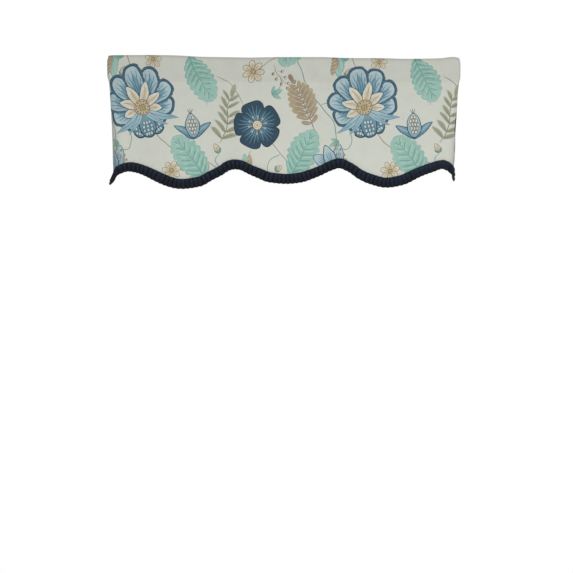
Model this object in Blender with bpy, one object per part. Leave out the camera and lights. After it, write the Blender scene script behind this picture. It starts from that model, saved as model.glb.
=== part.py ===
# Window valance: one printed cotton panel that hangs across the top of a window and wraps back
# to the wall at both ends, with a ribbed band sewn along its scalloped lower edge.
# Metres, +Z up. +X runs to the right as seen from the room, the front faces -Y, and the origin
# is at the middle of the top fold, on which the valance hangs.

import math

import bmesh
import bpy
from mathutils import Vector

MM = 0.001


def table(columns, *rows):
    names = columns.split()
    return [dict(zip(names, row)) for row in rows]


# Cut size of the cloth and how deep it stands out from the wall
FLAT_WIDTH = 1270 * MM
RETURN_DEPTH = 92 * MM

# Turned and single cloth: the rod pocket and the side hems lie double
SINGLE_CLOTH = 1.5 * MM
DOUBLE_CLOTH = 2.8 * MM
POCKET_DEPTH = 76 * MM
SIDE_HEM = 24 * MM
TURN_STEP = 2 * MM
FOLD_ROUNDING = 1.4 * MM

# Where the pocket, held out by what fills it, stands proud of the cloth below
POCKET_SWELL = 2.0 * MM

# The free hem hangs a little further out than the top
HEM_LEVEL = 350 * MM
HEM_LEAN = 8 * MM

# Ribbed band: half its height, how far it narrows towards its left end, the gap to the cloth
# behind it, and how far the cloth reaches under it
HALF_BAND = 16 * MM
CORNER_NARROWING = 0.10
END_NARROWING = 0.30
NARROWING_FROM = 572 * MM
BAND_GAP = 0.7 * MM
CLOTH_UNDER_BAND = 6 * MM
RIB_PITCH = 13.4 * MM
RIB_DEPTH = 2.1 * MM
RIB_EDGE_DEPTH = 1.0 * MM
RIB_SLANT = 1.6 * MM

COLUMN_PITCH = 15 * MM
CORNER_COLUMN_PITCH = 4.8 * MM
CORNER_MIDDLE = 528 * MM
CORNER_REACH = 29 * MM

# Middle of the band, measured along the hung hem from the centre of the front
HEM = table("along_mm drop_mm",
            (-630, 380), (-596, 375), (-560, 368.4), (-518, 355.4), (-474, 341), (-313, 392.6),
            (-257, 384.4), (-226, 367.8), (-195, 352.3), (-166, 335.4), (-148, 332.6),
            (-132, 334.8), (-103, 348.2), (-72, 361.5), (-41, 373), (8, 377.1), (51, 372.5),
            (82, 363.4), (113, 351.6), (143, 337.6), (170, 329.6), (205, 343.2), (236, 363.9),
            (267, 377.1), (317, 388.1), (359, 381.7), (421, 354.5), (451, 343.7), (487, 334.2),
            (522, 350.6), (560, 358.6), (630, 359.6))

# Height of the top fold above the origin along the cloth: it sits higher at the left
TOP_FOLD = table("along_mm rise_mm",
                 (-635, 5), (-556, 5), (-544, 4.6), (-530, 5.4), (-420, 6.2), (-340, 5),
                 (-250, 0.5), (-180, -0.6), (-100, -1.8), (-20, -0.4), (110, -0.2), (200, -3.2),
                 (300, -3.6), (378, -5.6), (430, -5.2), (488, -3.8), (525, 0.2), (538, -1.6),
                 (546, -3.6), (560, -5), (635, -5))

# Plan of the cloth at each drop: half widths of the front, its corner rounding, and the
# half widths at the back edges of the two returns
PLAN = table("drop_mm left_mm right_mm round_mm back_left_mm back_right_mm",
             (0, 538.5, 542, 6, 540, 542), (22, 540.5, 543, 7, 541, 543),
             (62, 540, 543, 8, 541, 543), (80, 537, 541, 11, 540, 543),
             (110, 535, 538, 14, 540.5, 543), (160, 532.3, 536, 19, 541, 543),
             (220, 528.5, 532.5, 24, 541, 543), (300, 522.5, 527.5, 30, 539.5, 541.5),
             (345, 519, 524, 32, 538.5, 536), (380, 517.5, 521.5, 33, 544, 534),
             (410, 517.5, 521, 33, 549, 533))

# Soft folds that open from the pocket down: where, how wide, and how far out at the hem
FOLDS = table("along_mm width_mm out_mm",
              (-470, 46, -2.6), (-380, 70, 5.2), (-240, 82, -5.6), (-84, 88, 6.0),
              (62, 70, -4.6), (196, 84, 6.4), (338, 74, -5.4), (446, 56, 3.6),
              (-586, 46, 1.8), (586, 46, -1.4))

# Section of the band: height from its middle line and distance from the cloth, on a rib and
# in the groove between two ribs
BAND_SECTION = table("down_mm out_mm edge face",
                     (-12.6, 0.0, 0, 0), (-4.4, 0.0, 0, 0), (4.4, 0.0, 0, 0),
                     (12.6, 0.0, 0, 0), (16.0, 2.4, 1, 0.3),
                     (13.6, 5.6, 1, 1), (7.5, 6.9, 0, 1), (0.3, 5.3, 0, 0.8),
                     (-7.2, 6.8, 0, 1), (-13.6, 5.5, 1, 1), (-16.0, 2.3, 1, 0.3))

CLOTH_COLOUR = (0.565, 0.560, 0.475, 1)
BAND_COLOUR = (0.014, 0.018, 0.030, 1)


def curve_through(rows, across, up):
    """A smooth curve through a table's rows that keeps its crests and troughs level."""
    xs = [row[across] for row in rows]
    ys = [row[up] for row in rows]
    rises = [(y1 - y0) / (x1 - x0) for x0, x1, y0, y1 in zip(xs, xs[1:], ys, ys[1:])]
    slopes = [rises[0]]
    for before, after in zip(rises, rises[1:]):
        level = before * after <= 0
        slopes.append(0.0 if level else 2 * before * after / (before + after))
    slopes.append(rises[-1])

    def value(x):
        x = min(max(x, xs[0]), xs[-1])
        i = max(k for k in range(len(xs) - 1) if xs[k] <= x)
        width = xs[i + 1] - xs[i]
        t = (x - xs[i]) / width
        return ((1 + 2 * t) * (1 - t) ** 2 * ys[i] + t * (1 - t) ** 2 * width * slopes[i]
                + t * t * (3 - 2 * t) * ys[i + 1] + t * t * (t - 1) * width * slopes[i + 1])

    return value


hem_curve = curve_through(HEM, "along_mm", "drop_mm")
top_curve = curve_through(TOP_FOLD, "along_mm", "rise_mm")
plan_curves = {name: curve_through(PLAN, "drop_mm", name) for name in PLAN[0]}


def smooth_step(value, start, end):
    t = min(max((value - start) / (end - start), 0.0), 1.0)
    return t * t * (3 - 2 * t)


def looseness(drop):
    """How free the cloth is at a drop: 0 at the pocket's seam and 1 at the hem."""
    return max(0.0, (drop - POCKET_DEPTH) / (HEM_LEVEL - POCKET_DEPTH))


def half_plan(side, drop):
    """The plan of one half of the cloth: straight front, rounded corner, straight return."""
    name = "left_mm" if side < 0 else "right_mm"
    corner = plan_curves[name](drop / MM) * MM
    back = plan_curves["back_" + name](drop / MM) * MM
    rounding = plan_curves["round_mm"](drop / MM) * MM
    front_y = -HEM_LEAN * looseness(drop)
    front = corner - rounding
    depth = RETURN_DEPTH - front_y
    turn = math.pi / 2
    for _ in range(12):
        turn = math.atan2(depth - rounding * (1 - math.cos(turn)),
                          back - front - rounding * math.sin(turn))
    bend = rounding * turn
    run = (depth - rounding * (1 - math.cos(turn))) / math.sin(turn)
    return front, rounding, turn, bend, run, front_y


def hung_length(side, drop):
    front, _, _, bend, run, _ = half_plan(side, drop)
    return front + bend + run


def cloth_line(along, drop):
    """Plan position of the cloth, without its folds, at a distance along its flat width."""
    side = -1 if along < 0 else 1
    front, rounding, turn, bend, run, front_y = half_plan(side, drop)
    distance = abs(along) * (front + bend + run) / (FLAT_WIDTH / 2)
    if distance <= front:
        x, y, heading = distance, 0.0, 0.0
    elif distance <= front + bend:
        heading = (distance - front) / rounding
        x = front + rounding * math.sin(heading)
        y = rounding * (1 - math.cos(heading))
    else:
        heading = turn
        past = distance - front - bend
        x = front + rounding * math.sin(turn) + past * math.cos(turn)
        y = rounding * (1 - math.cos(turn)) + past * math.sin(turn)
    outward = Vector((side * math.sin(heading), -math.cos(heading), 0))
    return Vector((side * x, y + front_y, 0)), outward


def fold_out(along, drop):
    """How far the soft folds and the filled pocket push the cloth out of its plain line."""
    loose = looseness(drop)
    folds = sum(row["out_mm"] * math.exp(-((along / MM - row["along_mm"]) / row["width_mm"]) ** 2)
                for row in FOLDS)
    edge = smooth_step(FLAT_WIDTH / 2 - abs(along), 0, 40 * MM)
    swell = POCKET_SWELL * smooth_step(drop, 0, 16 * MM) * (1 - smooth_step(drop, 58 * MM, POCKET_DEPTH))
    return folds * MM * min(loose, 1.2) * edge + swell


def cloth_front(along, drop):
    """A point of the cloth's printed face."""
    place, outward = cloth_line(along, drop)
    rise = top_curve(along / MM) * MM * (1 - smooth_step(drop, 0, 90 * MM))
    place.z = rise - drop
    return place + outward * (fold_out(along, drop) + DOUBLE_CLOTH / 2)


def cloth_out(along, drop):
    """The direction out of the printed face."""
    reach = 1.0 * MM
    across = cloth_front(along + reach, drop) - cloth_front(along - reach, drop)
    down = cloth_front(along, drop + reach) - cloth_front(along, max(drop - reach, 0))
    return down.cross(across).normalized()


def hem_drop(along):
    """Drop of the band's middle line at a distance along the flat cloth."""
    side = -1 if along < 0 else 1
    eased = hung_length(side, HEM_LEVEL) / (FLAT_WIDTH / 2)
    return hem_curve(along * eased / MM) * MM


def cloth_thickness(along, drop):
    in_pocket = 1 - smooth_step(drop, POCKET_DEPTH, POCKET_DEPTH + TURN_STEP)
    in_hem = 1 - smooth_step(FLAT_WIDTH / 2 - abs(along), SIDE_HEM, SIDE_HEM + TURN_STEP)
    return SINGLE_CLOTH + (DOUBLE_CLOTH - SINGLE_CLOTH) * max(in_pocket, in_hem)


def cloth_columns():
    """Distances along the cloth at which it is sectioned, closer where it turns a corner."""
    half = FLAT_WIDTH / 2
    spans = ((0, CORNER_MIDDLE - CORNER_REACH, COLUMN_PITCH),
             (CORNER_MIDDLE - CORNER_REACH, CORNER_MIDDLE + CORNER_REACH, CORNER_COLUMN_PITCH),
             (CORNER_MIDDLE + CORNER_REACH, half - SIDE_HEM - TURN_STEP, COLUMN_PITCH))
    right = []
    for start, end, pitch in spans:
        count = round((end - start) / pitch)
        right += [start + (end - start) * i / count for i in range(count)]
    right += [half - SIDE_HEM - TURN_STEP, half - SIDE_HEM, half - SIDE_HEM / 2, half]
    return [-stop for stop in reversed(right[1:])] + right


def cloth_section(along):
    """A closed loop down the face of the cloth and up its back."""
    lowest = hem_drop(along) + CLOTH_UNDER_BAND
    fixed = [drop * MM for drop in (1.4, 14, 34, 56, 68)]
    fixed += [POCKET_DEPTH, POCKET_DEPTH + TURN_STEP, 92 * MM]
    free = [fixed[-1] + (lowest - fixed[-1]) * part for part in (0.14, 0.32, 0.52, 0.72, 0.88, 1)]
    drops = fixed + free
    face = [cloth_front(along, drop) for drop in drops]
    back = [point - cloth_out(along, drop) * cloth_thickness(along, drop)
            for point, drop in zip(face, drops)]
    ridge = cloth_front(along, 0) - cloth_out(along, FOLD_ROUNDING) * DOUBLE_CLOTH / 2
    return [ridge] + face + back[::-1]


def band_section(along, on_rib, lift):
    """A closed loop round the band: full on a rib, drawn in between two."""
    reach = 2 * MM
    slope = (hem_drop(along + reach) - hem_drop(along - reach)) / (2 * reach)
    lean = math.atan(slope)
    middle = hem_drop(along)
    narrowed = (1 - CORNER_NARROWING * smooth_step(abs(along), 440 * MM, 500 * MM)
                - END_NARROWING * smooth_step(-along, NARROWING_FROM, FLAT_WIDTH / 2))
    loop = []
    for row in BAND_SECTION:
        down = row["down_mm"] * MM * narrowed
        drawn = 0 if on_rib else 1
        down -= math.copysign(RIB_EDGE_DEPTH * row["edge"] * drawn, down)
        out = row["out_mm"] * MM - RIB_DEPTH * row["face"] * drawn * lift
        slant = RIB_SLANT * down / HALF_BAND * math.sin(along * 37)
        at = along - down * math.sin(lean) + slant
        at = min(max(at, -FLAT_WIDTH / 2), FLAT_WIDTH / 2)
        drop = middle + down * math.cos(lean)
        loop.append(cloth_front(at, drop) + cloth_out(at, drop) * (BAND_GAP + out))
    return loop


def band_stations():
    """Ribs and the grooves between them, with how deep each groove is: uneven, and shallower
    towards the right end."""
    count = round(FLAT_WIDTH / RIB_PITCH)
    stations = []
    for i in range(2 * count + 1):
        wander = 0.9 * MM * math.sin(i * 2.4) * math.sin(i * 0.31)
        at = -FLAT_WIDTH / 2 + FLAT_WIDTH * i / (2 * count)
        if 0 < i < 2 * count:
            at += wander
        lift = 1 - 0.45 * smooth_step(at, 250 * MM, 480 * MM) + 0.18 * math.sin(i * 1.7)
        stations.append((at, i % 2 == 1 or i in (0, 2 * count), lift))
    return stations


def loft(name, sections, colour, roughness):
    """One closed body through a row of closed loops with the same number of points."""
    bm = bmesh.new()
    ring = [bm.verts.new(point) for point in sections[0]]
    edges = [bm.edges.new((a, b)) for a, b in zip(ring, ring[1:] + ring[:1])]
    rings = [ring]
    for points in sections[1:]:
        made = bmesh.ops.extrude_edge_only(bm, edges=edges)["geom"]
        fresh = {item for item in made if isinstance(item, bmesh.types.BMVert)}
        ring = [next(edge.other_vert(vert) for edge in vert.link_edges
                     if edge.other_vert(vert) in fresh) for vert in rings[-1]]
        for vert, point in zip(ring, points):
            vert.co = point
        edges = [bm.edges.get((a, b)) for a, b in zip(ring, ring[1:] + ring[:1])]
        rings.append(ring)
    for end in (rings[0], rings[-1]):
        close_end(bm, end)
    bmesh.ops.recalc_face_normals(bm, faces=bm.faces)
    bmesh.ops.triangulate(bm, faces=bm.faces, quad_method="SHORT_EDGE")
    mesh = bpy.data.meshes.new(name)
    bm.to_mesh(mesh)
    bm.free()
    mesh.shade_smooth()
    mesh.set_sharp_from_angle(angle=math.radians(50))
    mesh.materials.append(make_material(name, colour, roughness))
    body = bpy.data.objects.new(name, mesh)
    bpy.context.scene.collection.objects.link(body)
    return body


def close_end(bm, ring):
    """Close a loop with strips between its two sides, so a long thin end stays neat."""
    first, last = 1, len(ring) - 1
    bm.faces.new((ring[0], ring[first], ring[last]))
    while last - first > 1:
        if last - first == 2:
            bm.faces.new((ring[first], ring[first + 1], ring[last]))
            break
        bm.faces.new((ring[first], ring[first + 1], ring[last - 1], ring[last]))
        first += 1
        last -= 1


def make_material(name, colour, roughness):
    material = bpy.data.materials.new(name + "_finish")
    material.use_nodes = True
    shader = material.node_tree.nodes["Principled BSDF"]
    shader.inputs["Base Color"].default_value = colour
    shader.inputs["Roughness"].default_value = roughness
    shader.inputs["Metallic"].default_value = 0.0
    return material


def main():
    for item in list(bpy.data.objects):
        bpy.data.objects.remove(item, do_unlink=True)
    loft("panel", [cloth_section(along) for along in cloth_columns()], CLOTH_COLOUR, 0.9)
    loft("trim", [band_section(*station) for station in band_stations()], BAND_COLOUR, 0.85)


main()
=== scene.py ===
import math

import bmesh
import bpy
import numpy as np
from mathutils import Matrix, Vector
from mathutils.geometry import delaunay_2d_cdt


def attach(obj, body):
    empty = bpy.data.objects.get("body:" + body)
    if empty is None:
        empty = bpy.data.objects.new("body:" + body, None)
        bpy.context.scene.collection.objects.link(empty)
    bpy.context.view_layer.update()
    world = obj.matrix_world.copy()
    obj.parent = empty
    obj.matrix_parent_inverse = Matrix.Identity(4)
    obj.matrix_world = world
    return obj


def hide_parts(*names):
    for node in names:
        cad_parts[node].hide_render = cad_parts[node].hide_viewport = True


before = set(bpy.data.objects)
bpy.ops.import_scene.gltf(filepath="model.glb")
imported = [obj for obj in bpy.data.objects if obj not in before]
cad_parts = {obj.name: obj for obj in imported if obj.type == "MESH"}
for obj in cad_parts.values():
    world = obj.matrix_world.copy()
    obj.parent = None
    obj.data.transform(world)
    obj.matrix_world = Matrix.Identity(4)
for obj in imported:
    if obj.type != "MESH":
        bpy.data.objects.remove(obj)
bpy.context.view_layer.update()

mm = 0.001


def table(columns, *rows):
    names = columns.split()
    return [dict(zip(names, row)) for row in rows]


# How the cloth hangs, in metres, with its tables in millimetres: the cut and folds of the
# solids it replaces, but with the hem's two corners a little closer to the real ones
drape = {
    "flatWidth": 1.270,
    "returnDepth": 0.092,
    "pocketDepth": 0.076,
    "faceStand": 0.0014,      # from the middle of the double cloth to its printed face
    "pocketSwell": 0.0020,
    "swellTop": 0.016,        # where the swell is full, and where it starts to fade
    "swellFade": 0.058,
    "riseFade": 0.090,        # how far down the top fold's own unevenness reaches
    "sideEase": 0.040,        # the folds die out this near the side edges
    "mostLoose": 1.2,
    "cornerRounds": 12,       # rounds of the search for the corner's turn
    "hemLevel": 0.350,
    "hemLean": 0.008,
    "hem": table("along drop",
                 (-630, 380), (-596, 375), (-560, 370.4), (-536, 364.6), (-505, 348.4), (-474, 340),
                 (-313, 392.6), (-257, 384.4), (-226, 367.8), (-195, 352.3), (-166, 335.4),
                 (-148, 332.6), (-132, 334.8), (-103, 348.2), (-72, 361.5), (-41, 373),
                 (8, 377.1), (51, 372.5), (82, 363.4), (113, 351.6), (143, 337.6), (170, 329.6),
                 (205, 343.2), (236, 363.9), (267, 377.1), (317, 388.1), (359, 381.7),
                 (421, 354.5), (451, 343.4), (487, 333), (505, 338.8), (522, 349), (560, 358.6),
                 (630, 359.6)),
    "topFold": table("along rise",
                     (-635, 5), (-556, 5), (-544, 4.6), (-530, 5.4), (-420, 6.2), (-340, 5),
                     (-250, 0.5), (-180, -0.6), (-100, -1.8), (-20, -0.4), (110, -0.2),
                     (200, -3.2), (300, -3.6), (378, -5.6), (430, -5.2), (488, -3.8),
                     (525, 0.2), (538, -1.6), (546, -3.6), (560, -5), (635, -5)),
    "plan": table("drop left right rounding backLeft backRight",
                  (0, 538.5, 542, 6, 540, 542), (22, 540.5, 543, 7, 541, 543),
                  (62, 540, 543, 8, 541, 543), (80, 537, 541, 11, 540, 543),
                  (110, 535, 538, 14, 540.5, 543), (160, 532.3, 536, 19, 541, 543),
                  (220, 528.5, 532.5, 24, 541, 543), (300, 522.5, 527.5, 30, 539.5, 541.5),
                  (345, 519, 524, 32, 538.5, 536), (380, 517.5, 521.5, 33, 544, 534),
                  (410, 517.5, 521, 33, 549, 533)),
    "folds": table("along width out",
                   (-470, 46, -2.6), (-380, 70, 5.2), (-240, 82, -5.6), (-84, 88, 6.0),
                   (62, 70, -4.6), (196, 84, 6.4), (338, 74, -5.4), (446, 56, 3.6),
                   (-586, 46, 1.8), (586, 46, -1.4)),
}


# A smooth curve through a table's rows that keeps its crests and troughs level
def curveThrough(rows, across, up):
    xs = np.array([row[across] for row in rows], float)
    ys = np.array([row[up] for row in rows], float)
    rises = np.diff(ys) / np.diff(xs)
    product = rises[:-1] * rises[1:]
    total = rises[:-1] + rises[1:]
    inner = np.where(product > 0, 2 * product / np.where(total == 0, 1, total), 0)
    slopes = np.concatenate([rises[:1], inner, rises[-1:]])

    def value(x):
        x = np.clip(np.asarray(x, float), xs[0], xs[-1])
        i = np.clip(np.searchsorted(xs, x, side="right") - 1, 0, len(xs) - 2)
        width = xs[i + 1] - xs[i]
        t = (x - xs[i]) / width
        return ((1 + 2 * t) * (1 - t) ** 2 * ys[i] + t * (1 - t) ** 2 * width * slopes[i]
                + t * t * (3 - 2 * t) * ys[i + 1] + t * t * (t - 1) * width * slopes[i + 1])

    return value


halfFlat = drape["flatWidth"] / 2
hemCurve = curveThrough(drape["hem"], "along", "drop")
topCurve = curveThrough(drape["topFold"], "along", "rise")
planCurves = {name: curveThrough(drape["plan"], "drop", name) for name in drape["plan"][0]}


def smoothStep(value, start, end):
    t = np.clip((value - start) / (end - start), 0, 1)
    return t * t * (3 - 2 * t)


def looseness(drop):
    return np.maximum(0, (drop - drape["pocketDepth"]) / (drape["hemLevel"] - drape["pocketDepth"]))


# Straight front, rounded corner and straight return of the cloth's plan, on either side
def halfPlan(right, drop):
    def pick(leftName, rightName):
        return np.where(right, planCurves[rightName](drop / mm), planCurves[leftName](drop / mm)) * mm

    rounding = planCurves["rounding"](drop / mm) * mm
    frontY = -drape["hemLean"] * looseness(drop)
    front = pick("left", "right") - rounding
    back = pick("backLeft", "backRight")
    depth = drape["returnDepth"] - frontY
    turn = np.full_like(front, math.pi / 2)
    for _ in range(drape["cornerRounds"]):
        turn = np.arctan2(depth - rounding * (1 - np.cos(turn)),
                          back - front - rounding * np.sin(turn))
    run = (depth - rounding * (1 - np.cos(turn))) / np.sin(turn)
    return front, rounding, turn, rounding * turn, run, frontY


def clothLine(along, drop):
    right = along >= 0
    front, rounding, turn, bend, run, frontY = halfPlan(right, drop)
    distance = np.abs(along) * (front + bend + run) / halfFlat
    heading = np.clip((distance - front) / rounding, 0, turn)
    past = np.maximum(distance - front - bend, 0)
    x = np.minimum(distance, front) + rounding * np.sin(heading) + past * np.cos(turn)
    y = rounding * (1 - np.cos(heading)) + past * np.sin(turn) + frontY
    side = np.where(right, 1, -1)
    return side * x, y, side * np.sin(heading), -np.cos(heading)


# Small gathers that the seams draw into the cloth, beside the soft folds of the solids
puckers = {
    "seamReach": 0.013, "seamOut": 0.00042, "hemReach": 0.020, "hemOut": 0.00055, "bandCover": 0.012,
    "seamWaves": table("pace shift share", (171, 0, 0.6), (263, 1.3, 0.5), (97, 0.4, 0.5)),
    "hemWaves": table("pace shift share", (330, 0.6, 0.5), (214, 2.2, 0.6), (121, 0, 0.5)),
}


def hemDrop(along):
    front, _, _, bend, run, _ = halfPlan(along >= 0, np.full_like(along, drape["hemLevel"]))
    eased = (front + bend + run) / halfFlat
    return hemCurve(along * eased / mm) * mm


def waves(along, rows):
    return sum(np.sin(along * row["pace"] + row["shift"]) * row["share"] for row in rows)


def puckerOut(along, drop):
    seam = np.exp(-(((drop - drape["pocketDepth"]) / puckers["seamReach"]) ** 2))
    above = np.clip(hemDrop(along) - puckers["bandCover"] - drop, 0, 1)
    hem = np.exp(-above / puckers["hemReach"]) * smoothStep(above, -0.001, 0.009)
    return (puckers["seamOut"] * seam * waves(along, puckers["seamWaves"])
            + puckers["hemOut"] * hem * waves(along, puckers["hemWaves"]))


def foldOut(along, drop):
    out = sum(row["out"] * np.exp(-(((along / mm - row["along"]) / row["width"]) ** 2))
              for row in drape["folds"])
    edge = smoothStep(halfFlat - np.abs(along), 0, drape["sideEase"])
    swell = drape["pocketSwell"] * smoothStep(drop, 0, drape["swellTop"])
    swell = swell * (1 - smoothStep(drop, drape["swellFade"], drape["pocketDepth"]))
    loose = np.minimum(looseness(drop), drape["mostLoose"])
    return out * mm * loose * edge + swell + puckerOut(along, drop)


# A point of the printed face, and the level direction out of it
def clothFace(along, drop):
    x, y, outX, outY = clothLine(along, drop)
    out = foldOut(along, drop) + drape["faceStand"]
    rise = topCurve(along / mm) * mm * (1 - smoothStep(drop, 0, drape["riseFade"]))
    return np.stack([x + outX * out, y + outY * out, rise - drop], -1)


def clothOut(along, drop):
    reach = 0.0006
    across = clothFace(along + reach, drop) - clothFace(along - reach, drop)
    down = clothFace(along, drop + reach) - clothFace(along, drop - reach)
    out = np.cross(down, across)
    return out / np.linalg.norm(out, axis=-1, keepdims=True)


# The cloth over its top fold: up is 0 along the fold, less than 0 down the front and more than 0
# on the turned layer behind, and behind tells the wrong side of the cloth from the printed one
cloth = {"thickness": 0.0011, "layerGap": 0.0003, "turnedDepth": 0.0795, "sideHem": 0.024,
         "hemStep": 0.0015, "hemExtra": 0.9, "underBand": 0.006, "mapWidth": 1.28, "mapHeight": 0.50,
         "mapMargin": 0.003, "wrongSideFade": 0.80}


def hang(along, up, behind):
    fromSide = halfFlat - np.abs(along)
    inHem = 1 - smoothStep(fromSide, cloth["sideHem"], cloth["sideHem"] + cloth["hemStep"])
    thickness = cloth["thickness"] * (1 + cloth["hemExtra"] * inHem)
    radius = thickness + cloth["layerGap"] / 2
    overFold = radius * math.pi / 2
    layer = np.where(behind, thickness, 0)
    angle = np.clip(-up / radius, -math.pi / 2, math.pi / 2)
    flatDepth = np.where(up < 0, layer, 2 * radius - layer)
    onFold = np.abs(up) <= overFold
    depth = np.where(onFold, radius - (radius - layer) * np.sin(angle), flatDepth)
    drop = np.where(onFold, radius - (radius - layer) * np.cos(angle), radius + np.abs(up) - overFold)
    return clothFace(along, drop) - clothOut(along, drop) * depth[..., None]


lineStep = 3.2    # millimetres between the points of a drawn line
lineTip = 0.35    # how much of a line's width is left at its ends


# Draws the print's outlines in painter's order, in millimetres of the flat cloth
class Pen:
    def __init__(self, place=(0, 0), turn=0, size=1):
        cosine, sine = math.cos(math.radians(turn)), math.sin(math.radians(turn))
        self.place = np.array(place, float)
        self.size = size
        self.axes = size * np.array([[cosine, sine], [-sine, cosine]])

    def at(self, points):
        return np.asarray(points, float) @ self.axes + self.place

    def moved(self, x, y, turn=0, size=1):
        pen = Pen(size=size, turn=turn)
        pen.axes = pen.axes @ self.axes
        pen.place = self.at((x, y))
        pen.size = self.size * size
        return pen

    # A shape in one ink, or in two that run into each other from start to end
    def fill(self, points, near, far=None, start=(0, 0), end=(0, 1)):
        outline = self.at(points)
        outline = thinned(outline + waver(outline))
        turning = np.roll(outline, -1, 0)
        if (outline[:, 0] * turning[:, 1] - outline[:, 1] * turning[:, 0]).sum() < 0:
            outline = outline[::-1]
        artwork.append((outline, inks[near], inks[far or near], self.at(start), self.at(end)))

    # A blade with an edge of its own ink, then the same one drawn in a little and filled
    def edged(self, form, edge, inset, near, far=None, low=0, high=1, bend=0):
        self.fill(blade(*form, bend=bend), edge)
        self.fill(blade(*form, bend=bend, shrink=inset), near, far, (0, low), (0, high))

    def line(self, points, width, near, far=None):
        path = smoothPath(points, lineStep / self.size)
        heading = np.gradient(path, axis=0)
        heading /= np.linalg.norm(heading, axis=1, keepdims=True)
        across = heading[:, ::-1] * (-1, 1)
        t = np.linspace(0, 1, len(path))
        half = width / 2 * np.minimum(1, lineTip + 6 * np.minimum(t, 1 - t))[:, None]
        outline = np.concatenate([path + across * half, (path - across * half)[::-1]])
        self.fill(outline, near, far, path[0], path[-1])

    def dot(self, x, y, radius, near, steps=9):
        turns = np.arange(steps) * 2 * math.pi / steps
        self.fill(np.stack([x + radius * np.cos(turns), y + radius * np.sin(turns)], 1), near)


# The slight unevenness of a hand-drawn design
def waver(points):
    x, y = points[:, 0], points[:, 1]
    return np.stack([0.9 * np.sin(y / 7.3 + x / 31) + 0.8 * np.sin(y / 17 + 1.7),
                     0.9 * np.sin(x / 8.1 - y / 27 + 0.6) + 0.8 * np.sin(x / 19 + 0.3)], 1)


# Leaves out the points that an outline's shape doesn't need
def thinned(outline, slack=0.24, longest=24, fewest=6):
    for _ in range(3):
        before, after = np.roll(outline, 1, 0), np.roll(outline, -1, 0)
        run = after - before
        length = np.maximum(np.hypot(*run.T), 1e-6)
        reach = outline - before
        offset = np.abs(run[:, 0] * reach[:, 1] - run[:, 1] * reach[:, 0]) / length
        spare = (offset < slack) & (length < longest) & (np.arange(len(outline)) % 2 == 1)
        if len(outline) - spare.sum() < fewest:
            break
        outline = outline[~spare]
    return outline


# A smooth open path through given points, sampled about every step
def smoothPath(points, step):
    points = np.asarray(points, float)
    if len(points) == 2:
        count = max(2, int(np.linalg.norm(points[1] - points[0]) / step))
        return points[0] + (points[1] - points[0]) * np.linspace(0, 1, count + 1)[:, None]
    padded = np.concatenate([[2 * points[0] - points[1]], points, [2 * points[-1] - points[-2]]])
    path = []
    for a, b, c, d in zip(padded, padded[1:], padded[2:], padded[3:]):
        count = max(2, int(np.linalg.norm(c - b) / step))
        t = (np.arange(count) / count)[:, None]
        bend, twist = 2 * a - 5 * b + 4 * c - d, 3 * b - a - 3 * c + d
        path.append(0.5 * (2 * b + (c - a) * t + bend * t ** 2 + twist * t ** 3))
    return np.concatenate(path + [points[-1:]])


# A petal or leaf that stands on the origin and points up: low and tip set where it is fullest
# and how blunt it ends, teeth and depth make a scalloped edge, and bend curves it sideways
def blade(length, width, low=0.8, tip=0.6, teeth=0, depth=0, bend=0, step=2.6, shrink=0):
    count = max(8, int(length / step))
    t = np.linspace(0, 1, count * (2 if teeth else 1) + 1)
    t = 0.5 - 0.5 * np.cos(math.pi * t)
    peak = low / (low + tip)
    full = peak ** low * (1 - peak) ** tip
    half = (width / 2 - shrink) * t ** low * (1 - t) ** tip / full
    if teeth:
        half = half * (1 - depth + depth * np.abs(np.sin(math.pi * teeth * t)) ** 0.7)
    y = shrink + (length - 2 * shrink) * t
    sway = bend * (y / length) ** 2
    right = np.stack([sway + half, y], 1)
    left = np.stack([sway - half, y], 1)
    return np.concatenate([right, left[-2:0:-1]])


def ink(red, green, blue):
    channels = [value / 255 for value in (red, green, blue)]
    return tuple(c / 12.92 if c <= 0.04045 else ((c + 0.055) / 1.055) ** 2.4 for c in channels)


inks = {
    "ground": ink(212.5, 215, 204.5),
    "navy": ink(44, 72, 92), "navyDeep": ink(30, 46, 62), "blue": ink(84, 128, 150),
    "blueSoft": ink(128, 168, 182), "bluePale": ink(186, 205, 208),
    "teal": ink(138, 184, 172), "tealDeep": ink(104, 152, 142),
    "tealPale": ink(172, 205, 192), "cream": ink(222, 214, 192), "tan": ink(196, 182, 148),
    "ochre": ink(182, 166, 124), "taupe": ink(152, 136, 116), "brown": ink(118, 98, 82),
    "olive": ink(152, 154, 130), "oliveDeep": ink(118, 122, 98), "olivePale": ink(182, 184, 160),
}
artwork = []


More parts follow.
